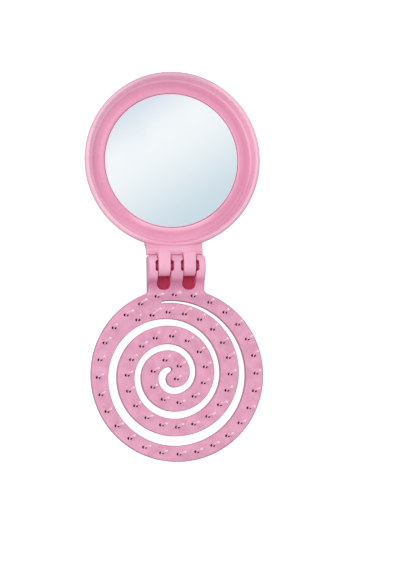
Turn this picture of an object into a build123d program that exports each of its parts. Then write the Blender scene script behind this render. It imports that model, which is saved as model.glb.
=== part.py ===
from build123d import *
from math import cos, sin, radians, sqrt
import os

# Folding pocket hairbrush with a mirror, opened flat (180 degrees).
# X runs along the hinge pin, +Y points to the mirror head, -Y to the brush head,
# +Z is the side of the mirror face and of the bristles.  Millimetres.
# The origin is the centre of the footprint, on the surface that the back rests on.

# ---------------------------------------------------------------- driving sizes
overall_length = 148.0          # tip to tip, opened
mirror_head_r = 33.5            # outer radius of the mirror head
disc_r = 32.7                   # outer radius of the brush disc

# hinge
axis_y = -0.4                   # hinge axis position along the length
axis_z = 13.0                   # hinge axis height over the resting surface
pin_r = 1.5                     # hinge pin radius
knuckle_r = 3.8                 # outer radius of the mirror half's knuckles
knuckle_w = 4.6                 # knuckle width along the pin
knuckle_x = 4.8                 # knuckle centres, left and right of the middle
knuckle_clear_r = 0.05          # running clearance on the pin, radial
window_w = 5.1                  # window width in the barrel
barrel_r = 4.1                  # barrel radius
barrel_w = 21.55                # barrel length along the pin
bore_end_t = 0.8                # wall that closes the left end of the pin bore
hump_r = 6.7                    # long radius of the barrel's front on the plate side
neck_w = 21.35                  # neck width of both halves

# mirror half
rim_z = 8.8                     # height of the rim crest
back_flat_r = 27.5              # flat part of the back
floor_t = 1.8                   # cup floor under the mirror
tape_t = 0.5                    # adhesive pad
glass_t = 1.8                   # mirror glass
glass_r = 25.5
recess_r = 25.68                # recess that holds the glass
tape_r = 24.0
trough_z = 3.45                 # lowest line of the trough around the glass
lip_z = 4.5                     # small lip around the glass
wall_r = 31.1                   # foot of the inner wall
neck_end_y = 4.0                # end face of the mirror half's neck
neck_top_z = 9.8                # neck height at its end face
neck_low_z = 7.6                # neck underside at its end face
root_r = 1.2                    # fillet where a knuckle strap rises from the neck

# brush half
plate_t = 3.0                   # plate thickness
plate_z = 12.6                  # front face of the plate
fold_stop_gap = 0.3             # gap between neck end face and barrel heel
heel_z = 7.7                    # underside of the hinge block
cover_t = 1.2                   # rear hinge cover thickness
window_end_y = -9.3             # rounded lower end of the windows

# bristles
bristle_len = 8.5               # free length over the plate
bristle_r = 0.42
bristle_tip_r = 0.47
root_pocket_w = 1.9             # open pocket round each bristle root, along the pin axis
root_pocket_h = 1.05            # and across it
root_pocket_d = 1.5
head_r = 0.75                   # bristle head, sunk in the back of the plate
head_t = 0.6

# ---------------------------------------------------------------- derived sizes
mirror_y = overall_length / 2 - mirror_head_r        # centre of the mirror head
disc_y = -overall_length / 2 + disc_r                # centre of the brush disc
plate_back = plate_z - plate_t
glass_z = floor_t + tape_t                           # underside of the glass
barrel_front = axis_y + barrel_r
cover_top = heel_z + cover_t

os.makedirs("parts", exist_ok=True)


# Spiral slot: each edge is a chain of quarter arcs, tangent to each other, that
# winds clockwise from the outer end near the neck to the inner end at the middle.
slot_outer_start = (-1.88, disc_y + 0.10)            # first centre of the outer edge
slot_outer_r = [27.77, 26.73, 25.35, 22.33, 20.12, 17.44, 15.12, 12.98, 10.40, 8.45, 5.90, 4.25]
slot_inner_start = (-2.61, disc_y + 1.07)            # first centre of the inner edge
slot_inner_r = [25.96, 24.18, 22.11, 19.50, 17.43, 14.94, 12.81, 10.28, 8.17, 5.82, 3.14]
slot_start_angle = 97.0
slot_inner_end_angle = 118.0


def quarter_chain(start, radii):
    """Centres, radii and start angles of tangent quarter arcs, clockwise."""
    cx, cy = start
    out = [(cx, cy, radii[0], slot_start_angle, -slot_start_angle)]
    angle = 0.0
    for before, after in zip(radii, radii[1:]):
        cx += (before - after) * cos(radians(angle))
        cy += (before - after) * sin(radians(angle))
        out.append((cx, cy, after, angle, -90.0))
        angle -= 90.0
    return out


outer_arcs = quarter_chain(slot_outer_start, slot_outer_r)
inner_arcs = quarter_chain(slot_inner_start, slot_inner_r)
# the inner edge closes a little further round, below the inner end cap
icx, icy, ir, ia, _ = inner_arcs[-1]
inner_arcs.append((icx, icy, ir, ia - 90.0, slot_inner_end_angle - 180.0))

# Bristle roots about the disc centre: an outer row round the rim, counter-clockwise
# from +X, and an inner row that follows the spiral band from its outer end inwards.
outer_row = [
    (29.8, 0.2), (29.0, 6.9), (26.7, 13.1), (23.1, 18.7), (18.3, 23.3),
    (12.6, 27.1), (6.3, 29.6), (-0.8, 30.1), (-7.4, 29.5), (-13.7, 26.7),
    (-19.2, 22.6), (-23.8, 17.8), (-27.3, 12.2), (-29.3, 5.9), (-30.0, -0.7),
    (-29.1, -7.2), (-26.9, -13.5), (-23.2, -18.9), (-18.4, -23.6), (-12.9, -27.0),
    (-6.5, -29.2), (0.1, -29.8), (6.8, -29.0), (12.9, -26.7), (18.6, -23.2),
    (23.4, -18.4), (26.9, -12.8), (29.1, -6.4),
]
inner_row = [
    (-14.8, 20.7), (-9.4, 22.4), (-3.3, 23.5), (2.9, 22.8), (8.6, 20.7),
    (13.5, 16.9), (17.2, 11.9), (19.4, 6.2), (19.9, 0.0), (18.6, -6.1),
    (15.7, -11.5), (11.2, -15.8), (5.8, -18.6), (-0.4, -19.7), (-6.4, -18.8),
    (-11.9, -16.0), (-16.1, -11.5), (-18.7, -6.0), (-19.1, 0.0), (-17.4, 5.8),
    (-13.5, 10.8), (-8.3, 13.8), (-2.1, 14.5), (3.8, 12.7), (8.3, 8.5),
    (10.5, 2.8), (9.7, -3.2), (6.1, -8.2), (0.3, -10.5), (-5.6, -9.2),
    (-9.5, -4.6), (-9.3, 1.4), (-4.7, 5.5), (0.6, 3.2), (-0.5, -1.6),
]
bristle_xy = [(x, disc_y + y) for x, y in outer_row + inner_row]

# ================================================================ MIRROR HALF
# ---- mirror shell: round cup, neck and two hinge knuckles, one moulding
with BuildPart() as mirror_shell:
    # neck: a plate that rises from the rim to the hinge, rounded into the rim in plan
    with BuildSketch(Plane.XY.offset(2.0)) as neck_plan:
        with Locations((0, mirror_y)):
            Circle(mirror_head_r - 0.25)
        with Locations((0, (neck_end_y + 16.0) / 2)):
            Rectangle(neck_w, 16.0 - neck_end_y)
        corners = [v for v in neck_plan.vertices() if abs(abs(v.X) - neck_w / 2) < 0.01 and 5 < v.Y < 12]
        fillet(corners, 1.9)
    extrude(amount=14.0)
    with BuildSketch(Plane.YZ.offset(-20)):
        with BuildLine():
            Line((neck_end_y, neck_low_z + 0.3), (neck_end_y, neck_top_z - 0.3))
            Line((neck_end_y, neck_top_z - 0.3), (neck_end_y + 0.3, neck_top_z))
            Line((neck_end_y + 0.3, neck_top_z), (neck_end_y + 1.2, neck_top_z))
            Spline(
                (neck_end_y + 1.2, neck_top_z), (7.7, rim_z - 0.3), (10.2, rim_z - 1.4),
                tangents=((1, 0), (1, -0.1)),
            )
            Line((10.2, rim_z - 1.4), (16.0, rim_z - 1.4))
            Line((16.0, rim_z - 1.4), (16.0, 2.6))
            Line((16.0, 2.6), (8.2, 2.6))
            Spline(
                (8.2, 2.6), (neck_end_y + 0.3, neck_low_z),
                tangents=((-0.25, 1), (-1, 0.15)),
            )
            Line((neck_end_y + 0.3, neck_low_z), (neck_end_y, neck_low_z + 0.3))
        make_face()
    extrude(amount=40, mode=Mode.INTERSECT)
    neck_long = mirror_shell.edges().filter_by(
        lambda e: abs(abs(e.center().X) - neck_w / 2) < 0.01 and e.center().Z > 8.9 and 4.5 < e.center().Y < 14
    )
    fillet(neck_long, 0.4)
    # the corner webs beside the neck stay at rim height
    with BuildSketch(Plane.XY):
        with Locations((-neck_w / 2 - 10, 10), (neck_w / 2 + 10, 10)):
            Rectangle(20, 20)
    extrude(amount=6.9, mode=Mode.SUBTRACT)
    # the neck stops inside the rim wall, clear of the cup
    with BuildSketch(Plane.XY.offset(trough_z - 1.2)):
        with Locations((0, mirror_y)):
            Circle(mirror_head_r - 1.2)
    extrude(amount=20, mode=Mode.SUBTRACT)

    # cup, turned about the head's centre; sketch X is the radius, sketch Y is Z
    with BuildSketch(Plane.XZ.offset(-mirror_y)):
        with BuildLine():
            p0 = (0, 0)
            p1 = (back_flat_r, 0)
            p2 = (mirror_head_r, 6.9)
            p3 = (mirror_head_r, rim_z - 1.15)
            p4 = (mirror_head_r - 1.1, rim_z)
            p5 = (mirror_head_r - 1.75, rim_z - 0.5)
            p6 = (wall_r, trough_z + 0.9)
            p7 = (wall_r - 0.95, trough_z)
            Line(p0, p1)
            Spline(p1, (31.5, 1.9), p2, tangents=((1, 0), (0, 1)))
            Line(p2, p3)
            RadiusArc(p3, p4, -1.14)
            TangentArc(p4, p5, tangent=(-1, 0))
            Line(p5, p6)
            Spline(p6, p7, tangents=((-0.15, -1), (-1, 0)))
            Line(p7, (29.4, trough_z))
            Spline((29.4, trough_z), (26.6, lip_z - 0.04), tangents=((-1, 0), (-1, 0.18)))
            ThreePointArc((26.6, lip_z - 0.04), (26.1, lip_z), (25.75, lip_z - 0.28))
            Line((25.75, lip_z - 0.28), (recess_r, floor_t))
            Line((recess_r, floor_t), (0, floor_t))
            Line((0, floor_t), p0)
        make_face()
    revolve(axis=Axis((0, mirror_y, 0), (0, 0, 1)))

    # knuckles: bull-nosed straps that reach over the pin from the neck
    for side in (-1, 1):
        with BuildSketch(Plane.YZ.offset(side * knuckle_x)):
            with BuildLine():
                strap_y = neck_end_y + 0.75
                Line((axis_y, axis_z + knuckle_r), (strap_y, axis_z + knuckle_r))
                Line((strap_y, axis_z + knuckle_r), (strap_y, neck_top_z + root_r))
                ThreePointArc(
                    (strap_y, neck_top_z + root_r),
                    (strap_y + root_r * (1 - cos(radians(45))), neck_top_z + root_r * (1 - sin(radians(45)))),
                    (strap_y + root_r, neck_top_z),
                )
                Line((strap_y + root_r, neck_top_z), (strap_y + root_r, neck_top_z - 1.4))
                Line((strap_y + root_r, neck_top_z - 1.4), (neck_end_y, neck_top_z - 1.4))
                Line((neck_end_y, neck_top_z - 1.4), (neck_end_y, axis_z - 3.0))
                Line((neck_end_y, axis_z - 3.0), (axis_y + 2.3324, axis_z - 3.0))
                ThreePointArc(
                    (axis_y + 2.3324, axis_z - 3.0), (axis_y - knuckle_r, axis_z),
                    (axis_y, axis_z + knuckle_r),
                )
            make_face()
        extrude(amount=knuckle_w / 2, both=True)
    strap_edges = mirror_shell.edges().filter_by(GeomType.CIRCLE).filter_by(
        lambda e: abs(e.radius - knuckle_r) < 0.01
    )
    strap_edges += mirror_shell.edges().filter_by(Axis.Y).filter_by(
        lambda e: e.center().Z > axis_z + knuckle_r - 0.01
    )
    fillet(strap_edges, 0.35)
    # running holes for the hinge pin
    with BuildSketch(Plane.YZ.offset(-barrel_w / 2)):
        with Locations((axis_y, axis_z)):
            Circle(pin_r + knuckle_clear_r)
    extrude(amount=barrel_w, mode=Mode.SUBTRACT)
mirror_shell.part.label = "mirror_shell"

# ---- adhesive pad that holds the glass
with BuildPart() as mirror_tape:
    with BuildSketch(Plane.XY.offset(floor_t)):
        with Locations((0, mirror_y)):
            Circle(tape_r)
    extrude(amount=tape_t)
mirror_tape.part.label = "mirror_tape"

# ---- mirror glass, a ground disc with a small chamfer on its front edge
with BuildPart() as mirror_glass:
    with BuildSketch(Plane.XY.offset(glass_z)):
        with Locations((0, mirror_y)):
            Circle(glass_r)
    extrude(amount=glass_t)
    chamfer(mirror_glass.faces().sort_by(Axis.Z)[-1].edges(), 0.2)
mirror_glass.part.label = "mirror_glass"

# ================================================================ BRUSH HALF
# ---- what the two hinge windows take out of the barrel and neck
with BuildPart() as window_tool:
    with BuildSketch(Plane.XY.offset(cover_top - 0.2)) as window_outline:
        with Locations((-knuckle_x, 0), (knuckle_x, 0)):
            with Locations((0, (window_end_y + 8.0) / 2)):
                Rectangle(window_w, 8.0 - window_end_y)
        fillet([v for v in window_outline.vertices() if v.Y < window_end_y + 0.1], 2.2)
    extrude(amount=20)
    with BuildSketch(Plane.YZ.offset(-20)):
        with BuildLine():
            Polyline(
                (window_end_y - 1, cover_top), (axis_y, cover_top), (axis_y, axis_z - 3.3),
                (9, axis_z - 3.3), (9, 40), (window_end_y - 1, 40), (window_end_y - 1, cover_top),
            )
        make_face()
        with Locations((axis_y, axis_z)):
            Circle(barrel_r)
    extrude(amount=40, mode=Mode.INTERSECT)

# ---- barrel: round towards the mirror half, a long hump down to the plate, and a
#      square heel that stops on the neck end face when opened flat
hump_cz = axis_z + barrel_r - hump_r
hump_end_y, hump_end_z = axis_y - hump_r * sin(radians(60)), hump_cz + hump_r * cos(radians(60))
foot_r = (hump_end_z - plate_z) / (1 - cos(radians(60)))
foot_y = hump_end_y - foot_r * sin(radians(60))
with BuildPart() as barrel_block:
    with BuildSketch(Plane.YZ):
        with BuildLine():
            Line((axis_y + barrel_r, heel_z + 0.5), (axis_y + barrel_r, axis_z))
            ThreePointArc(
                (axis_y + barrel_r, axis_z),
                (axis_y + barrel_r * cos(radians(45)), axis_z + barrel_r * sin(radians(45))),
                (axis_y, axis_z + barrel_r),
            )
            ThreePointArc(
                (axis_y, axis_z + barrel_r),
                (axis_y - hump_r * sin(radians(30)), hump_cz + hump_r * cos(radians(30))),
                (hump_end_y, hump_end_z),
            )
            ThreePointArc(
                (hump_end_y, hump_end_z),
                (foot_y + foot_r * sin(radians(30)), plate_z + foot_r * (1 - cos(radians(30)))),
                (foot_y, plate_z),
            )
            Polyline(
                (foot_y, plate_z), (foot_y, plate_back + 0.4), (axis_y - barrel_r, heel_z + 0.5),
                (axis_y + barrel_r, heel_z + 0.5),
            )
        make_face()
    extrude(amount=barrel_w / 2, both=True)
    rims = barrel_block.edges().filter_by(lambda e: abs(abs(e.center().X) - barrel_w / 2) < 0.01)
    fillet(rims.filter_by(lambda e: e.center().Z > plate_z - 0.5), 0.8)

# ---- brush frame: spiral disc, neck and hinge barrel, one moulding
with BuildPart() as brush_frame:
    # flat plate outline: disc and neck, with rounded inner corners
    with BuildSketch(Plane.XY.offset(plate_back)) as plate_outline:
        with Locations((0, disc_y)):
            Circle(disc_r)
        with Locations((0, -10.0)):
            Rectangle(neck_w, 9.0)
        corners = [v for v in plate_outline.vertices() if abs(abs(v.X) - neck_w / 2) < 0.01 and v.Y < -8]
        fillet(corners, 1.7)
    extrude(amount=plate_t)
    front_edges = brush_frame.faces().sort_by(Axis.Z)[-1].edges().filter_by(lambda e: e.center().Y < -6)
    fillet(front_edges, 0.7)
    back_edges = brush_frame.faces().sort_by(Axis.Z)[0].edges().filter_by(lambda e: e.center().Y < -6)
    chamfer(back_edges, 0.4)

    # neck block under the plate, deep enough for the windows
    with BuildSketch(Plane.YZ):
        with BuildLine():
            Polyline(
                (axis_y, heel_z), (-10.4, heel_z), (-12.7, plate_back), (-12.7, plate_z - 0.8),
                (axis_y, plate_z - 0.8), (axis_y, heel_z),
            )
        make_face()
    extrude(amount=neck_w / 2, both=True)

    # barrel with a square heel, a little wider than the neck
    add(barrel_block.part)

    # hinge windows and the small side pockets beside the knuckles
    add(window_tool.part, mode=Mode.SUBTRACT)
    with BuildSketch(Plane.XY.offset(axis_z - 2.1)) as ears:
        with Locations((-knuckle_x, axis_y), (knuckle_x, axis_y)):
            Rectangle(window_w + 1.9, 4.2)
        chamfer(ears.vertices(), 0.55)
    extrude(amount=10, mode=Mode.SUBTRACT)

    # soft edges round the windows and side pockets
    window_edges = brush_frame.edges().filter_by(
        lambda e: e.center().Z > plate_z - 0.1 and abs(e.center().X) < knuckle_x + 4.0
        and window_end_y - 0.2 < e.center().Y < barrel_r - 0.2
        and abs((e % 0.5).Z) < 0.9
        and not (abs((e % 0.5).X) > 0.99 and e.length > 0.5 and e.center().Y > window_end_y + 0.1)
    )
    fillet(window_edges, 0.2)

    # seat for the rear hinge cover
    with BuildSketch(Plane.XY.offset(heel_z)):
        with Locations((0, (window_end_y + 2.6) / 2 - 0.1)):
            RectangleRounded(18.8, 2.6 - window_end_y, 1.5)
    extrude(amount=cover_t, mode=Mode.SUBTRACT)

    # pin bore, open at the right end of the barrel and blind at the left
    with BuildSketch(Plane.YZ.offset(-barrel_w / 2 + bore_end_t)):
        with Locations((axis_y, axis_z)):
            Circle(pin_r)
    extrude(amount=barrel_w - bore_end_t, mode=Mode.SUBTRACT)

    # spiral slot
    with BuildSketch(Plane.XY.offset(plate_back - 1)) as slot:
        with BuildLine() as slot_line:
            first = CenterArc(outer_arcs[0][:2], outer_arcs[0][2], outer_arcs[0][3], outer_arcs[0][4])
            for cx, cy, r, a0, da in outer_arcs[1:]:
                last = CenterArc((cx, cy), r, a0, da)
            inner_first = CenterArc(inner_arcs[0][:2], inner_arcs[0][2], inner_arcs[0][3], inner_arcs[0][4])
            for cx, cy, r, a0, da in inner_arcs[1:]:
                inner_last = CenterArc((cx, cy), r, a0, da)
            TangentArc(last @ 1, inner_last @ 1, tangent=last % 1)
            TangentArc(first @ 0, inner_first @ 0, tangent=(first % 0) * -1)
        make_face()
    extrude(amount=6, mode=Mode.SUBTRACT)
    slot_edges = brush_frame.faces().filter_by(Axis.Z).filter_by(
        lambda f: abs(f.center().Z - plate_z) < 0.01 and f.area > 500
    ).edges().filter_by(lambda e: (e.center() - Vector(0, disc_y, plate_z)).length < 28.5 and e.length > 1.0)
    chamfer(slot_edges, 0.25)

    # bristle roots: open pocket in front, tight bore, sunk seat for the head behind
    with BuildSketch(Plane.XY.offset(plate_z - root_pocket_d)):
        with Locations(*bristle_xy):
            SlotOverall(root_pocket_w, root_pocket_h)
    extrude(amount=root_pocket_d + 1, mode=Mode.SUBTRACT)
    with BuildSketch(Plane.XY.offset(plate_back)):
        with Locations(*bristle_xy):
            Circle(bristle_r + 0.01)
    extrude(amount=plate_t, mode=Mode.SUBTRACT)
    with BuildSketch(Plane.XY.offset(plate_back - 0.01)):
        with Locations(*bristle_xy):
            Circle(head_r + 0.02)
    extrude(amount=head_t + 0.01, mode=Mode.SUBTRACT)
brush_frame.part.label = "brush_frame"

# ---- one bristle: sunk head, slightly tapered stem and ball tip
with BuildPart() as bristle:
    with BuildSketch(Plane.XZ):
        with BuildLine():
            ball_z = plate_z + bristle_len - bristle_tip_r
            neck_a = -45.0
            ball = CenterArc((0, ball_z), bristle_tip_r, neck_a, 90.0 - neck_a)
            Polyline(
                ball @ 1, (0, plate_back + 0.05), (head_r, plate_back + 0.05),
                (head_r, plate_back + head_t - 0.02), (bristle_r, plate_back + head_t - 0.02),
                (bristle_r, plate_z), ball @ 0,
            )
        make_face()
    revolve(axis=Axis.Z)

# ---- all bristles, each a separate piece
with BuildPart() as bristles:
    with Locations(*bristle_xy):
        add(bristle.part)
bristles.part.label = "bristles"

# ---- hinge pin, pressed into the barrel, free in the knuckles
with BuildPart() as hinge_pin:
    with BuildSketch(Plane.YZ.offset(-barrel_w / 2 + bore_end_t + 0.1)):
        with Locations((axis_y, axis_z)):
            Circle(pin_r)
    extrude(amount=barrel_w - bore_end_t - 0.5)
    chamfer(hinge_pin.edges().filter_by(GeomType.CIRCLE), 0.25)
hinge_pin.part.label = "hinge_pin"

# ---- rear cover that closes the windows from behind
with BuildPart() as hinge_rear_cover:
    with BuildSketch(Plane.XY.offset(heel_z)):
        with Locations((0, (window_end_y + 2.6) / 2 - 0.1)):
            RectangleRounded(18.7, 2.5 - window_end_y, 1.45)
    extrude(amount=cover_t)
    chamfer(hinge_rear_cover.faces().sort_by(Axis.Z)[0].edges(), 0.2)
hinge_rear_cover.part.label = "hinge_rear_cover"

for piece in (mirror_shell, mirror_tape, mirror_glass, brush_frame, bristles, hinge_pin, hinge_rear_cover):
    export_step(piece.part, "parts/" + piece.part.label + ".step")
    print(piece.part.label, round(piece.part.volume, 1), piece.part.is_valid, len(piece.part.solids()))
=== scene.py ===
import math
import random

import bmesh
import bpy
from mathutils import Matrix, Vector


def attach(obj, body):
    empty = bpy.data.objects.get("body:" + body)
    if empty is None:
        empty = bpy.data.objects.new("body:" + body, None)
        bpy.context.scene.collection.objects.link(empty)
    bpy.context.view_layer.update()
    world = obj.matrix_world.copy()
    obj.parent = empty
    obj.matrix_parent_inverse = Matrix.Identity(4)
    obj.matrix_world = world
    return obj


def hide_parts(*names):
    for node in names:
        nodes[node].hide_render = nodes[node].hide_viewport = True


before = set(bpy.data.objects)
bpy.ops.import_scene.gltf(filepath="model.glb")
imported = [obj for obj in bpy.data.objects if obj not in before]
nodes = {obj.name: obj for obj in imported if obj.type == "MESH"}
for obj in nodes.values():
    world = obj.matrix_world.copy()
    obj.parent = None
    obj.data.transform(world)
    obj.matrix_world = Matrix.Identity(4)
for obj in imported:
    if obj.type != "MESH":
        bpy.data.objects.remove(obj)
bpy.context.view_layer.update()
scene = bpy.context.scene
MM = 0.001
MIRROR_Y = 0.0405

scene.view_settings.view_transform = "Standard"
scene.view_settings.look = "None"
scene.view_settings.exposure = 0.0
scene.view_settings.gamma = 1.0


# ------------------------------------------------------------------ camera
def make_camera():
    yaw, pitch, roll = math.radians(7.8), math.radians(3.8), math.radians(0.84)
    target, dist = Vector((0.0, 0.0, 0.009)), 1.0
    d = Vector((-math.sin(yaw) * math.cos(pitch), -math.sin(pitch), math.cos(yaw) * math.cos(pitch)))
    xc = Vector((0, 1, 0)).cross(d).normalized()
    yc = d.cross(xc)
    xr = math.cos(roll) * xc - math.sin(roll) * yc
    yr = math.sin(roll) * xc + math.cos(roll) * yc
    data = bpy.data.cameras.new("camera")
    data.lens = 167.1
    data.sensor_width = 36.0
    data.shift_x = 0.0443
    data.shift_y = -0.034
    data.clip_start, data.clip_end = 0.01, 50.0
    cam = bpy.data.objects.new("camera", data)
    scene.collection.objects.link(cam)
    rot = Matrix((xr, yr, d)).transposed()
    cam.matrix_world = Matrix.Translation(target + dist * d) @ rot.to_4x4()
    scene.camera = cam
    return cam


make_camera()


# ------------------------------------------------------------------ node helpers
class Nodes:
    """A small helper to write shader node trees in a readable way."""

    def __init__(self, tree):
        self.t = tree
        self.t.nodes.clear()

    def add(self, kind, **props):
        n = self.t.nodes.new(kind)
        for k, v in props.items():
            if k.startswith("in_"):
                n.inputs[k[3:].replace("__", " ")].default_value = v
            else:
                setattr(n, k, v)
        return n

    def link(self, a, b):
        self.t.links.new(a, b)

    def value(self, sock, v):
        if isinstance(v, bpy.types.NodeSocket):
            self.link(v, sock)
        else:
            sock.default_value = v

    def math(self, op, a, b=None, c=None, clamp=False):
        n = self.add("ShaderNodeMath", operation=op, use_clamp=clamp)
        self.value(n.inputs[0], a)
        if b is not None:
            self.value(n.inputs[1], b)
        if c is not None:
            self.value(n.inputs[2], c)
        return n.outputs[0]

    def remap(self, v, lo, hi, to_lo, to_hi, smooth=True):
        n = self.add("ShaderNodeMapRange", clamp=True)
        if smooth:
            n.interpolation_type = "SMOOTHSTEP"
        self.value(n.inputs["Value"], v)
        self.value(n.inputs["From Min"], lo)
        self.value(n.inputs["From Max"], hi)
        self.value(n.inputs["To Min"], to_lo)
        self.value(n.inputs["To Max"], to_hi)
        return n.outputs["Result"]

    def mix(self, fac, a, b, blend="MIX"):
        n = self.add("ShaderNodeMix", data_type="RGBA", blend_type=blend)
        self.value(n.inputs["Factor"], fac)
        self.value(n.inputs[6], a)
        self.value(n.inputs[7], b)
        return n.outputs[2]

    def noise(self, vector, scale, detail=3.0, rough=0.5, distortion=0.0):
        n = self.add("ShaderNodeTexNoise")
        self.link(vector, n.inputs["Vector"])
        n.inputs["Scale"].default_value = scale
        n.inputs["Detail"].default_value = detail
        n.inputs["Roughness"].default_value = rough
        n.inputs["Distortion"].default_value = distortion
        return n.outputs["Fac"]

    def occlusion(self, reach, local):
        n = self.add("ShaderNodeAmbientOcclusion", samples=8, only_local=local)
        n.inputs["Distance"].default_value = reach
        return n.outputs["AO"]

    def bump(self, height, distance, strength=1.0, normal=None):
        n = self.add("ShaderNodeBump")
        self.link(height, n.inputs["Height"])
        n.inputs["Distance"].default_value = distance
        n.inputs["Strength"].default_value = strength
        if normal is not None:
            self.link(normal, n.inputs["Normal"])
        return n.outputs["Normal"]


def new_material(name):
    m = bpy.data.materials.new(name)
    m.use_nodes = True
    return m, Nodes(m.node_tree)


def rgb(r, g, b):
    """Display values 0-255 to a linear colour."""
    def lin(c):
        c /= 255.0
        return c / 12.92 if c <= 0.04045 else ((c + 0.055) / 1.055) ** 2.4
    return (lin(r), lin(g), lin(b), 1.0)


def dress(obj, material):
    obj.data.materials.clear()
    obj.data.materials.append(material)


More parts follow.
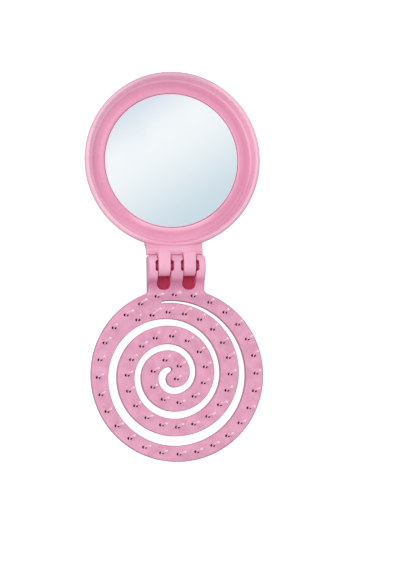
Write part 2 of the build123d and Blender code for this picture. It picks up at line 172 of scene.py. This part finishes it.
# ------------------------------------------------------------------ materials
def pink_plastic(name, base, dark, light, mottle_scale, mottle, rough, grain, crevice, hinge_gap, rim=None, barrel=None, dip=None, cut=None, pocket=None):
    """Moulded plastic: pigment drift, faint flow marks, fine moulded grain.  Where two
    walls stand close together an occlusion mask paints shade in `crevice` = (colour, reach in metres,
    strength, from, to), and beside the hinge in `hinge_gap` = (colour, y where it starts, mask before
    and after, colour of a faint painted glow).  `rim` = (colour, strength) is the painted highlight on the mirror
    head's crest, also laid on its straps and neck, with painted shade in the trough round the glass; `barrel` =
    (colour, strength) the painted highlight on the hinge barrel, `dip` = (colour, strength) the painted shade in front
    of the barrel, and `cut` = (colour, strength) the painted shade on the plate's cut edges.  `pocket` = z under which
    the root pockets are painted in shade."""
    m, n = new_material(name)
    pos = n.add("ShaderNodeTexCoord").outputs["Object"]
    drift = n.noise(pos, mottle_scale, detail=3.0, rough=0.55, distortion=0.4)
    fine = n.noise(pos, mottle_scale * 5.0, detail=2.0, rough=0.6)
    t = n.math("ADD", n.math("MULTIPLY", drift, 0.75), n.math("MULTIPLY", fine, 0.25))
    shade = n.remap(t, 0.5 - 0.5 * mottle, 0.5 + 0.5 * mottle, 0.0, 1.0)
    low = n.mix(n.remap(shade, 0.0, 0.5, 0.0, 1.0, smooth=False), dark, base)
    colour = n.mix(n.remap(shade, 0.5, 1.0, 0.0, 1.0, smooth=False), low, light)
    sep = n.add("ShaderNodeSeparateXYZ")
    n.link(pos, sep.inputs[0])
    if rim:
        dx, dy = sep.outputs["X"], n.math("SUBTRACT", sep.outputs["Y"], MIRROR_Y)
        r = n.math("SQRT", n.math("ADD", n.math("MULTIPLY", dx, dx), n.math("MULTIPLY", dy, dy)))
        front = n.remap(sep.outputs["Z"], 0.0026, 0.0034, 0.0, 1.0)
        # painted shade: the trough is painted darker half way down its outer slope, most at the top
        deep_shade = n.math("MULTIPLY", n.remap(r, 0.0272, 0.0290, 0.0, 0.60), n.remap(r, 0.0297, 0.0308, 1.0, 0.0))
        deep_shade = n.math("MULTIPLY", deep_shade, n.remap(dy, -0.030, 0.002, 0.15, 1.0))
        lean = n.math("ADD", n.math("MULTIPLY", dx, -0.75 / 0.033), n.math("MULTIPLY", dy, 0.66 / 0.033))
        deep_shade = n.math("MULTIPLY", deep_shade, n.remap(lean, 0.6, 0.9, 1.0, 0.35))
        colour = n.mix(n.math("MULTIPLY", deep_shade, front), colour, rgb(210, 134, 166))
        # painted shade: beside the glass it is painted a little darker too, except at the foot of the head, where a
        # painted highlight makes it paler
        inner = n.math("MULTIPLY", n.remap(r, 0.0266, 0.0278, 1.0, 0.0), n.remap(r, 0.0258, 0.0260, 0.0, 1.0))
        inner = n.math("MULTIPLY", inner, front)
        foot = n.remap(dy, -0.0245, -0.0190, 1.0, 0.0)
        colour = n.mix(n.math("MULTIPLY", inner, n.math("MULTIPLY_ADD", foot, -0.4, 0.4)), colour, rgb(206, 138, 168))
        colour = n.mix(n.math("MULTIPLY", inner, n.math("MULTIPLY", foot, 0.45)), colour, rgb(250, 202, 218))
        # painted light: the wall above it and the crest are painted paler, the wall most on the left and towards the
        # top
        wall = n.math("MULTIPLY", n.remap(r, 0.0299, 0.0310, 0.0, 1.0), n.remap(r, 0.0317, 0.0320, 1.0, 0.0))
        sides = n.math("ADD", n.remap(dx, -0.030, 0.0, 0.50, 0.0, smooth=False), n.remap(dx, 0.0, 0.030, 0.0, 0.03, smooth=False))
        sides = n.math("ADD", sides, n.remap(dy, -0.024, 0.010, 0.05, 0.44))
        colour = n.mix(n.math("MULTIPLY", n.math("MULTIPLY", wall, sides), front), colour, rgb(250, 202, 218))
        # painted shade: the foot of that wall is painted darker towards the lower right
        low = n.math("MULTIPLY", n.remap(r, 0.0290, 0.0298, 0.0, 0.8), n.remap(r, 0.0308, 0.0314, 1.0, 0.0))
        low = n.math("MULTIPLY", low, n.remap(lean, -0.93, -0.70, 1.0, 0.0))
        colour = n.mix(n.math("MULTIPLY", low, front), colour, rgb(208, 140, 168))
        # painted highlight along the thin edge that stands round the glass
        lip_highlight = n.math("MULTIPLY", n.remap(r, 0.02560, 0.02590, 0.9, 0.0), n.remap(sep.outputs["Z"], 0.0019, 0.0023, 0.0, 1.0))
        colour = n.mix(lip_highlight, colour, rgb(250, 205, 220))
        # painted highlight on the crest, painted greyer at the upper left and lower right and darker at the top as
        # painted shade
        crest_highlight = n.math("MULTIPLY", n.remap(r, 0.0316, 0.0321, 0.0, 1.0), n.remap(sep.outputs["Z"], 0.0062, 0.0084, 0.0, 1.0))
        crest_highlight = n.math("MULTIPLY", crest_highlight, n.remap(r, 0.0335, 0.0337, 1.0, 0.0))
        crest_highlight = n.math("MULTIPLY", crest_highlight, n.remap(sep.outputs["Y"], 0.0090, 0.0125, 0.15, 1.0))
        cool = n.math("MULTIPLY", n.remap(dy, 0.002, 0.020, 0.0, 1.0), n.remap(lean, 0.0, 0.5, 0.0, 1.0))
        pale = n.mix(n.math("MAXIMUM", cool, n.remap(lean, -0.93, -0.72, 1.0, 0.0)), rim[0], rgb(224, 178, 198))
        pale = n.mix(n.remap(dy, 0.0270, 0.0310, 0.0, 1.0), pale, rgb(210, 164, 184))
        colour = n.mix(n.math("MULTIPLY", crest_highlight, rim[1]), colour, pale)
        # painted light: the straps' tops are painted paler, more on the left
        strap = n.math("MULTIPLY", n.remap(sep.outputs["Y"], 0.0035, 0.0055, 1.0, 0.0), n.remap(sep.outputs["Z"], 0.0125, 0.0145, 0.0, 1.0))
        strap = n.math("MULTIPLY", strap, n.remap(dx, 0.0, 0.004, 0.30, 0.12))
        colour = n.mix(strap, colour, rim[0])
        # painted light: the neck's top near the hinge is painted paler, most in the middle
        neck = n.math("MULTIPLY", n.remap(sep.outputs["Y"], 0.0055, 0.0080, 0.5, 0.0), n.remap(sep.outputs["Z"], 0.0060, 0.0070, 0.0, 1.0))
        neck = n.math("MULTIPLY", neck, n.remap(sep.outputs["Z"], 0.0110, 0.0125, 1.0, 0.0))
        neck = n.math("MULTIPLY", neck, n.remap(n.math("ABSOLUTE", dx), 0.004, 0.008, 1.0, 0.35))
        colour = n.mix(neck, colour, rim[0])
    if barrel:
        # painted highlight: a paler band painted across the hinge barrel, strongest at its sides
        band = n.math("MULTIPLY", n.remap(sep.outputs["Y"], -0.0062, -0.0036, 0.0, barrel[1]),
                      n.remap(n.math("ABSOLUTE", sep.outputs["X"]), 0.003, 0.008, 0.35, 1.0))
        colour = n.mix(band, colour, barrel[0])
    if dip:
        # painted shade: the hollow between the barrel and the plate is painted darker, most on the left
        y = sep.outputs["Y"]
        hollow = n.math("MULTIPLY", n.remap(y, -0.0112, -0.0076, 0.0, 1.0), n.remap(y, -0.0072, -0.0040, 1.0, 0.0))
        hollow = n.math("MULTIPLY", hollow, n.remap(sep.outputs["X"], -0.004, 0.0105, 1.0, 0.6))
        tone = n.mix(n.remap(sep.outputs["X"], 0.002, 0.0105, 0.0, 1.0), dip[0], rgb(216, 100, 142))
        colour = n.mix(n.math("MULTIPLY", hollow, dip[1]), colour, tone)
        # painted shade: the plate just in front of the hollow is painted darker as well
        shoulder = n.math("MULTIPLY", n.remap(y, -0.0170, -0.0120, 0.0, 0.55), n.remap(y, -0.0118, -0.0106, 1.0, 0.0))
        colour = n.mix(shoulder, colour, rgb(198, 134, 164))
    if cut:
        # painted shade: the plate's steep cut edges are painted a duller, darker pink
        facing = n.add("ShaderNodeSeparateXYZ")
        n.link(n.add("ShaderNodeTexCoord").outputs["Normal"], facing.inputs[0])
        edge = n.remap(n.math("ABSOLUTE", facing.outputs["Z"]), 0.72, 0.95, 1.0, 0.0)
        edge = n.math("MULTIPLY", edge, n.remap(sep.outputs["Y"], -0.0105, -0.0095, 1.0, 0.0))
        colour = n.mix(n.math("MULTIPLY", edge, cut[1]), colour, cut[0])
    # painted shade: an occlusion mask paints the crevice colour wherever walls stand close, and beside the hinge
    ao = n.occlusion(crevice[1], local=False)
    near = n.remap(sep.outputs["Y"], hinge_gap[1], hinge_gap[1] + 0.0008, *hinge_gap[2])
    deep_shade = n.mix(near, crevice[0], hinge_gap[0])
    gap = n.remap(ao, crevice[3], crevice[4], crevice[2], 0.0)
    if pocket:
        # the root pockets are in full shade just below the plate's face
        inside = n.math("MULTIPLY", n.remap(ao, 0.80, 0.93, 1.0, 0.0), n.remap(sep.outputs["Z"], pocket - 0.0002, pocket, 1.0, 0.0))
        inside = n.math("MULTIPLY", inside, n.math("SUBTRACT", 1.0, near))
        inside = n.math("MULTIPLY", inside, n.remap(sep.outputs["Z"], pocket - 0.0020, pocket - 0.0016, 0.0, 1.0))
        gap = n.math("MAXIMUM", gap, inside)
    colour = n.mix(gap, colour, deep_shade)

    grain_n = n.noise(pos, 9000.0, detail=2.0, rough=0.6)
    wave = n.noise(pos, 260.0, detail=2.0, rough=0.5)
    normal = n.bump(grain_n, 0.00002, grain)
    normal = n.bump(wave, 0.0002, 0.05, normal)
    roughness = n.remap(n.noise(pos, 700.0, detail=3.0), 0.3, 0.7, rough - 0.04, rough + 0.05)

    b = n.add("ShaderNodeBsdfPrincipled")
    n.link(colour, b.inputs["Base Color"])
    n.link(roughness, b.inputs["Roughness"])
    n.link(normal, b.inputs["Normal"])
    b.inputs["IOR"].default_value = 1.49
    b.inputs["Subsurface Weight"].default_value = 0.06
    b.inputs["Subsurface Radius"].default_value = (1.0, 0.45, 0.55)
    b.inputs["Subsurface Scale"].default_value = 0.0006
    # painted shade: no gloss down in the gaps, and a faint painted glow in place of the little light that comes through
    # the plastic
    shade = n.add("ShaderNodeBsdfPrincipled")
    n.link(deep_shade, shade.inputs["Base Color"])
    shade.inputs["Roughness"].default_value = 0.7
    shade.inputs["Specular IOR Level"].default_value = 0.0
    n.link(n.mix(near, (0.052, 0.003, 0.015, 1.0) if pocket else (0.0, 0.0, 0.0, 1.0), hinge_gap[3]), shade.inputs["Emission Color"])
    shade.inputs["Emission Strength"].default_value = 1.0
    both = n.add("ShaderNodeMixShader")
    n.link(gap, both.inputs[0])
    n.link(b.outputs[0], both.inputs[1])
    n.link(shade.outputs[0], both.inputs[2])
    out = n.add("ShaderNodeOutputMaterial")
    n.link(both.outputs[0], out.inputs["Surface"])
    return m


# painted shade, painted glow and painted highlight colours of the mirror shell
shell_mat = pink_plastic(
    "pink_plastic_shell", rgb(227, 160, 187), rgb(223, 153, 182), rgb(231, 167, 192),
    60.0, 0.5, 0.36, 0.12,
    (rgb(236, 160, 188), 0.0007, 0.80, 0.15, 0.60), (rgb(214, 118, 156), 0.0080, (1.0, 0.0), (0.06, 0.016, 0.03, 1.0)),
    rim=(rgb(241, 187, 206), 0.75),
)
# painted shade, painted glow and painted highlight colours of the brush frame
frame_mat = pink_plastic(
    "pink_plastic_brush", rgb(217, 154, 181), rgb(208, 142, 171), rgb(224, 164, 189),
    240.0, 0.45, 0.36, 0.14,
    (rgb(84, 12, 40), 0.0012, 1.0, 0.20, 0.80), (rgb(228, 84, 132), -0.0102, (0.0, 1.0), (0.13, 0.012, 0.032, 1.0)),
    barrel=(rgb(236, 174, 199), 0.6),
    dip=(rgb(186, 98, 138), 0.62),
    cut=(rgb(196, 136, 162), 0.9),
    pocket=0.01255,
)


def pin_material():
    m, n = new_material("hinge_pin_plastic")
    pos = n.add("ShaderNodeTexCoord").outputs["Object"]
    t = n.noise(pos, 900.0, detail=2.0)
    colour = n.mix(t, rgb(196, 64, 106), rgb(210, 76, 118))
    b = n.add("ShaderNodeBsdfPrincipled")
    n.link(colour, b.inputs["Base Color"])
    n.link(n.remap(t, 0.3, 0.7, 0.38, 0.5), b.inputs["Roughness"])
    n.link(n.bump(n.noise(pos, 6000.0), 0.00002, 0.2), b.inputs["Normal"])
    out = n.add("ShaderNodeOutputMaterial")
    n.link(b.outputs[0], out.inputs["Surface"])
    return m


def cover_material():
    m, n = new_material("burgundy_cover_plastic")
    pos = n.add("ShaderNodeTexCoord").outputs["Object"]
    t = n.noise(pos, 500.0, detail=3.0)
    colour = n.mix(t, rgb(206, 36, 88), rgb(218, 42, 96))
    # painted light: the up-facing face behind the windows keeps a brighter burgundy than the other faces, to make up
    # for the shade it lies in
    facing = n.add("ShaderNodeSeparateXYZ")
    n.link(n.add("ShaderNodeTexCoord").outputs["Normal"], facing.inputs[0])
    colour = n.mix(n.remap(facing.outputs["Z"], 0.3, 0.7, 1.0, 0.0), colour, n.mix(t, rgb(142, 18, 54), rgb(152, 24, 62)))
    b = n.add("ShaderNodeBsdfPrincipled")
    n.link(colour, b.inputs["Base Color"])
    n.link(n.remap(t, 0.3, 0.7, 0.42, 0.52), b.inputs["Roughness"])
    n.link(n.bump(n.noise(pos, 7000.0), 0.00002, 0.25), b.inputs["Normal"])
    out = n.add("ShaderNodeOutputMaterial")
    n.link(b.outputs[0], out.inputs["Surface"])
    return m


def mirror_material():
    """Silvered glass: a bright metal face, and a ground edge painted pink as a painted reflection of the pink round it.
    """
    m, n = new_material("silvered_glass")
    pos = n.add("ShaderNodeTexCoord").outputs["Object"]
    sep = n.add("ShaderNodeSeparateXYZ")
    n.link(n.add("ShaderNodeTexCoord").outputs["Normal"], sep.inputs[0])
    face = n.remap(sep.outputs["Z"], 0.9, 0.98, 0.0, 1.0)
    smudge = n.noise(pos, 55.0, detail=4.0, rough=0.6, distortion=1.2)

    silver = n.add("ShaderNodeBsdfPrincipled")
    silver.inputs["Base Color"].default_value = (0.93, 0.965, 0.975, 1.0)
    silver.inputs["Metallic"].default_value = 1.0
    n.link(n.remap(smudge, 0.35, 0.75, 0.015, 0.05), silver.inputs["Roughness"])
    n.link(n.bump(n.noise(pos, 30.0, detail=1.0), 0.00003, 0.15), silver.inputs["Normal"])

    edge = n.add("ShaderNodeBsdfPrincipled")
    n.link(n.mix(smudge, rgb(242, 190, 208), rgb(250, 208, 222)), edge.inputs["Base Color"])
    edge.inputs["Roughness"].default_value = 0.35
    # painted glow: the edge glows faintly in place of the light that runs inside the glass and leaves at its edge
    edge.inputs["Emission Color"].default_value = (1.0, 0.72, 0.84, 1.0)
    edge.inputs["Emission Strength"].default_value = 0.12
    mix = n.add("ShaderNodeMixShader")
    n.link(face, mix.inputs[0])
    n.link(edge.outputs[0], mix.inputs[1])
    n.link(silver.outputs[0], mix.inputs[2])
    out = n.add("ShaderNodeOutputMaterial")
    n.link(mix.outputs[0], out.inputs["Surface"])
    return m


def tape_material():
    m, n = new_material("foam_pad")
    pos = n.add("ShaderNodeTexCoord").outputs["Object"]
    t = n.noise(pos, 2500.0, detail=3.0)
    b = n.add("ShaderNodeBsdfPrincipled")
    n.link(n.mix(t, (0.72, 0.71, 0.66, 1), (0.86, 0.85, 0.80, 1)), b.inputs["Base Color"])
    b.inputs["Roughness"].default_value = 0.85
    n.link(n.bump(t, 0.0001, 0.5), b.inputs["Normal"])
    out = n.add("ShaderNodeOutputMaterial")
    n.link(b.outputs[0], out.inputs["Surface"])
    return m


def bristle_material():
    m, n = new_material("bristle_nylon")
    pos = n.add("ShaderNodeTexCoord").outputs["Object"]
    sep = n.add("ShaderNodeSeparateXYZ")
    n.link(pos, sep.inputs[0])
    t = n.noise(pos, 1500.0, detail=2.0)
    # painted highlight: the pins are painted paler towards the ball tip
    tip_highlight = n.remap(sep.outputs["Z"], 0.0125, 0.0208, 0.0, 1.0)
    colour = n.mix(tip_highlight, rgb(253, 208, 222), rgb(248, 202, 217))
    colour = n.mix(n.math("MULTIPLY", t, 0.20), colour, rgb(238, 176, 200))
    b = n.add("ShaderNodeBsdfPrincipled")
    n.link(colour, b.inputs["Base Color"])
    n.link(n.remap(t, 0.3, 0.7, 0.28, 0.4), b.inputs["Roughness"])
    n.link(n.bump(n.noise(pos, 8000.0), 0.00001, 0.2), b.inputs["Normal"])
    b.inputs["Subsurface Weight"].default_value = 0.35
    b.inputs["Subsurface Radius"].default_value = (1.0, 0.6, 0.7)
    b.inputs["Subsurface Scale"].default_value = 0.0008
    # painted shade: the foot is painted dark maroon down in its pocket, and the stem's root is painted dark too, with a
    # faint painted glow in the shade
    shade = n.add("ShaderNodeBsdfPrincipled")
    n.link(n.mix(t, rgb(84, 12, 40), rgb(98, 16, 48)), shade.inputs["Base Color"])
    shade.inputs["Roughness"].default_value = 0.7
    shade.inputs["Specular IOR Level"].default_value = 0.0
    shade.inputs["Emission Color"].default_value = (0.052, 0.003, 0.015, 1.0)
    shade.inputs["Emission Strength"].default_value = 1.0
    facing = n.add("ShaderNodeSeparateXYZ")
    n.link(n.add("ShaderNodeTexCoord").outputs["Normal"], facing.inputs[0])
    root = n.math("MULTIPLY", n.remap(sep.outputs["Z"], 0.0126, 0.0130, 0.85, 0.0),
                  n.remap(n.math("ABSOLUTE", facing.outputs["Z"]), 0.6, 0.9, 1.0, 0.0))
    root = n.math("MAXIMUM", root, n.remap(sep.outputs["Z"], 0.01225, 0.01250, 1.0, 0.0))
    root = n.math("MULTIPLY", root, n.remap(sep.outputs["Z"], 0.0103, 0.0107, 0.0, 1.0))
    both = n.add("ShaderNodeMixShader")
    n.link(root, both.inputs[0])
    n.link(b.outputs[0], both.inputs[1])
    n.link(shade.outputs[0], both.inputs[2])
    out = n.add("ShaderNodeOutputMaterial")
    n.link(both.outputs[0], out.inputs["Surface"])
    return m


dress(nodes["mirror_shell"], shell_mat)
dress(nodes["brush_frame"], frame_mat)
dress(nodes["hinge_pin"], pin_material())
dress(nodes["hinge_rear_cover"], cover_material())
dress(nodes["mirror_glass"], mirror_material())
dress(nodes["mirror_tape"], tape_material())

# ------------------------------------------------------------------ bristles
DISC_Y = -41.3
PLATE_Z, PLATE_BACK = 12.6, 9.6
FOOT = (0.21, 0.515)            # half sizes of the foot that stands in the root pocket
TIP_REACH = 30.6                # tips stay inside the mirror head's rim when folded
# root (x, y) about the disc centre, and how far the tip leans from it, millimetres
BRISTLES = [
    (29.8, 0.2, 0.40, 0.85), (29.0, 6.9, 0.39, 1.37), (26.7, 13.1, 0.63, 0.93),
    (23.1, 18.7, 0.24, 0.96), (18.3, 23.3, 0.28, 0.76), (12.6, 27.1, 0.36, 1.03),
    (6.3, 29.6, 0.43, 1.60), (-0.8, 30.1, 1.29, 1.54), (-7.4, 29.5, 1.12, 1.11),
    (-13.7, 26.7, 1.37, 1.28), (-19.2, 22.6, 1.83, 1.23), (-23.8, 17.8, 0.28, 0.93),
    (-27.3, 12.2, 1.29, 1.45), (-29.3, 5.9, 1.04, 0.97), (-30.0, -0.7, 1.01, 0.95),
    (-29.1, -7.2, 0.57, 0.84), (-26.9, -13.5, 0.79, 0.98), (-23.2, -18.9, 1.40, 0.78),
    (-18.4, -23.6, 0.88, 1.10), (-12.9, -27.0, 1.27, 0.55), (-6.5, -29.2, 0.94, 0.76),
    (0.1, -29.8, 1.41, 0.88), (6.8, -29.0, 0.82, 1.09), (12.9, -26.7, 1.16, 1.25),
    (18.6, -23.2, 0.83, 0.85), (23.4, -18.4, 0.80, 0.81), (26.9, -12.8, 0.90, 0.49),
    (29.1, -6.4, 0.58, 0.75), (-14.8, 20.7, 0.14, 1.61), (-9.4, 22.4, 2.43, 2.06),
    (-3.3, 23.5, 0.92, 1.22), (2.9, 22.8, 1.56, 1.68), (8.6, 20.7, 0.89, 1.56),
    (13.5, 16.9, 0.56, 1.43), (17.2, 11.9, 0.81, 1.35), (19.4, 6.2, 1.05, 1.58),
    (19.9, 0.0, 0.87, 1.21), (18.6, -6.1, 0.93, 1.36), (15.7, -11.5, 1.62, 1.01),
    (11.2, -15.8, 1.57, 1.01), (5.8, -18.6, 0.92, 0.71), (-0.4, -19.7, 1.15, 1.15),
    (-6.4, -18.8, 1.08, 0.50), (-11.9, -16.0, 1.24, 0.66), (-16.1, -11.5, 0.94, 1.08),
    (-18.7, -6.0, 1.08, 1.20), (-19.1, 0.0, 1.05, 1.13), (-17.4, 5.8, 1.10, 1.43),
    (-13.5, 10.8, 1.06, 1.28), (-8.3, 13.8, 0.51, 1.79), (-2.1, 14.5, 0.59, 1.30),
    (3.8, 12.7, 1.16, 1.01), (8.3, 8.5, 0.65, 1.29), (10.5, 2.8, 0.78, 1.35),
    (9.7, -3.2, 0.86, 1.09), (6.1, -8.2, 0.82, 0.79), (0.3, -10.5, 1.12, 0.62),
    (-5.6, -9.2, 1.00, 0.51), (-9.5, -4.6, 0.72, 0.68), (-9.3, 1.4, 1.24, 0.90),
    (-4.7, 5.5, 0.78, 1.31), (0.6, 3.2, 1.13, 1.32), (-0.5, -1.6, 0.49, 0.82),
]


def close_stack(bm, rings, top):
    """Skin a stack of rings and close it, flat below and with a pole on top."""
    seg = len(rings[0])
    for a, b in zip(rings, rings[1:]):
        for j in range(seg):
            f = bm.faces.new((a[j], a[(j + 1) % seg], b[(j + 1) % seg], b[j]))
            f.smooth = True
    bm.faces.new(list(reversed(rings[0])))
    pole = bm.verts.new((top[0] * MM, top[1] * MM, top[2] * MM))
    for j in range(seg):
        f = bm.faces.new((rings[-1][j], rings[-1][(j + 1) % seg], pole))
        f.smooth = True


def foot_outline():
    """The foot is a narrow block across the root pocket, open on both sides of it."""
    return [
        (sx * (FOOT[0] - 0.06) + 0.06 * math.cos(math.radians(a)), sy * (FOOT[1] - 0.06) + 0.06 * math.sin(math.radians(a)))
        for sx, sy, a0 in ((1, 1, 0), (-1, 1, 90), (-1, -1, 180), (1, -1, 270)) for a in (a0, a0 + 30, a0 + 60, a0 + 90)
    ]


def make_bristles():
    """Nylon pins: a flat head in the back of the plate, a stem that leans and
    tapers, and a ball tip.  Each pin leans a little differently."""
    rng = random.Random(63)
    bm = bmesh.new()
    seg = 20
    outline = foot_outline()
    for rx, ry, lx, ly in BRISTLES:
        root, lean = Vector((rx, ry)), Vector((lx, ly))
        if (root + lean).length > TIP_REACH:
            # keep the sideways part of the lean, shorten the outward part
            out = root.normalized()
            side = lean - out * lean.dot(out)
            lean = side + out * (math.sqrt(TIP_REACH ** 2 - side.length_squared) - root.length)
        x, y = rx, DISC_Y + ry
        top = 21.1 + rng.uniform(-0.10, 0.0)
        ball_r = 0.47 + rng.uniform(-0.02, 0.03)
        # stations: (height, radius); the stem bends gently as it leaves the plate
        h = PLATE_BACK
        profile = [(h + 0.05, 0.70), (h + 0.10, 0.745), (h + 0.53, 0.745), (h + 0.58, 0.70), (h + 0.60, 0.40)]
        stem_top = top - 2 * ball_r
        profile += [(PLATE_Z - 1.45, 0.39), (PLATE_Z - 1.15, 0.32), (PLATE_Z - 0.7, 0.29), (PLATE_Z - 0.3, 0.285)]
        k = 10
        for i in range(k + 1):
            t = i / k
            swell = min(1.0, t / 0.25)
            profile.append((PLATE_Z + (stem_top + 0.12 - PLATE_Z) * t, 0.285 + 0.13 * swell - 0.02 * t))
        ball_z = top - ball_r
        for i in range(9):
            a = math.radians(-52 + i * (52 + 84) / 8)
            profile.append((ball_z + ball_r * math.sin(a), ball_r * math.cos(a)))
        rings = []
        for z, r in profile:
            t = max(0.0, (z - PLATE_Z) / (top - PLATE_Z))
            # the stem leaves the pocket along its upper wall and bends a little as it rises
            step = min(1.0, max(0.0, (z - PLATE_Z + 1.45) / 1.1))
            step = 0.20 * step * step * (3 - 2 * step)
            cx = x + lean.x * (0.3 * t * t + 0.7 * t)
            cy = y + step * (1 - t) + lean.y * (1.15 * t - 0.15 * t * t)
            rings.append([
                bm.verts.new(((cx + r * math.cos(2 * math.pi * j / seg)) * MM,
                              (cy + r * math.sin(2 * math.pi * j / seg)) * MM, z * MM))
                for j in range(seg)
            ])
        close_stack(bm, rings, (x + lean.x, y + lean.y, top))
        rings = [
            [bm.verts.new(((x + k * u) * MM, (y + k * v) * MM, (PLATE_Z + dz) * MM)) for u, v in outline]
            for dz, k in ((-1.48, 1.0), (-0.12, 1.0), (-0.08, 0.985))
        ]
        for a, b in zip(rings, rings[1:]):
            for j in range(len(outline)):
                bm.faces.new((a[j], a[(j + 1) % len(outline)], b[(j + 1) % len(outline)], b[j]))
        bm.faces.new(list(reversed(rings[0])))
        bm.faces.new(rings[-1])
    me = bpy.data.meshes.new("bristle_pins")
    bm.normal_update()
    bm.to_mesh(me)
    bm.free()
    o = bpy.data.objects.new("bristle_pins", me)
    scene.collection.objects.link(o)
    dress(o, bristle_material())
    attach(o, "brush_half")
    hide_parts("bristles")
    return o


make_bristles()


# ------------------------------------------------------------------ studio
def make_floor():
    me = bpy.data.meshes.new("floor")
    s = 4.0
    me.from_pydata([(-s, -s, -0.0001), (s, -s, -0.0001), (s, s, -0.0001), (-s, s, -0.0001)], [], [(0, 1, 2, 3)])
    o = bpy.data.objects.new("floor", me)
    scene.collection.objects.link(o)
    m, n = new_material("studio_floor")
    diff = n.add("ShaderNodeBsdfDiffuse")
    diff.inputs["Color"].default_value = (0.30, 0.30, 0.30, 1)
    glow = n.add("ShaderNodeEmission")
    glow.inputs["Color"].default_value = (1, 1, 1, 1)
    glow.inputs["Strength"].default_value = 0.92
    both = n.add("ShaderNodeAddShader")
    n.link(diff.outputs[0], both.inputs[0])
    n.link(glow.outputs[0], both.inputs[1])
    clear = n.add("ShaderNodeBsdfTransparent")
    geo = n.add("ShaderNodeNewGeometry")
    mix = n.add("ShaderNodeMixShader")
    n.link(geo.outputs["Backfacing"], mix.inputs[0])
    n.link(both.outputs[0], mix.inputs[1])
    n.link(clear.outputs[0], mix.inputs[2])
    out = n.add("ShaderNodeOutputMaterial")
    n.link(mix.outputs[0], out.inputs["Surface"])
    dress(o, m)
    o.visible_diffuse = False
    o.visible_glossy = False


def area(name, at, aim, size, power, colour=(1, 1, 1)):
    data = bpy.data.lights.new(name, "AREA")
    data.shape = "DISK"
    data.size = size
    data.energy = power
    data.color = colour
    o = bpy.data.objects.new(name, data)
    scene.collection.objects.link(o)
    o.location = at
    o.rotation_mode = "QUATERNION"
    o.rotation_quaternion = (Vector(at) - Vector(aim)).to_track_quat("Z", "Y")
    return o


def make_world():
    w = bpy.data.worlds.new("studio")
    w.use_nodes = True
    scene.world = w
    n = Nodes(w.node_tree)
    d = n.add("ShaderNodeTexCoord").outputs["Generated"]
    sep = n.add("ShaderNodeSeparateXYZ")
    n.link(d, sep.inputs[0])
    # overhead: a broad soft white with pale blue diagonal bands
    u = n.math("ADD", n.math("MULTIPLY", sep.outputs["X"], 0.52), n.math("MULTIPLY", sep.outputs["Y"], -0.85))
    lower = n.remap(u, -0.030, 0.008, 0.0, 1.0)
    upper = n.remap(u, -0.031, -0.050, 0.0, 1.0)
    overhead = n.mix(lower, (0.955, 0.965, 0.975, 1), (0.62, 0.73, 0.80, 1))
    overhead = n.mix(upper, overhead, (0.67, 0.74, 0.84, 1))
    up = n.remap(sep.outputs["Z"], 0.90, 0.955, 0.0, 1.0)
    # around: dim low down, a little brighter towards the upper left
    side = n.remap(sep.outputs["Z"], -0.1, 0.6, 0.35, 1.08)
    lean = n.math("ADD", n.math("MULTIPLY", sep.outputs["X"], -0.67), n.math("MULTIPLY", sep.outputs["Y"], 0.74))
    side = n.math("MULTIPLY", side, n.math("MULTIPLY_ADD", lean, 0.18, 1.0))
    # a soft ring of fill from below for the back
    fill = n.math("MULTIPLY", n.remap(sep.outputs["Z"], -0.45, -0.62, 0.0, 0.45), n.remap(sep.outputs["Z"], -0.80, -0.88, 1.0, 0.0))
    side = n.math("ADD", side, fill)
    comb = n.add("ShaderNodeCombineColor")
    for i in range(3):
        n.link(side, comb.inputs[i])
    colour = n.mix(up, comb.outputs[0], overhead)
    bg = n.add("ShaderNodeBackground")
    n.link(colour, bg.inputs["Color"])
    bg.inputs["Strength"].default_value = 1.0
    out = n.add("ShaderNodeOutputWorld")
    n.link(bg.outputs[0], out.inputs["Surface"])


make_floor()
make_world()
area("key", (-0.55, 0.30, 1.2), (0, 0, 0), 1.0, 4.5, (1.0, 0.985, 0.97))
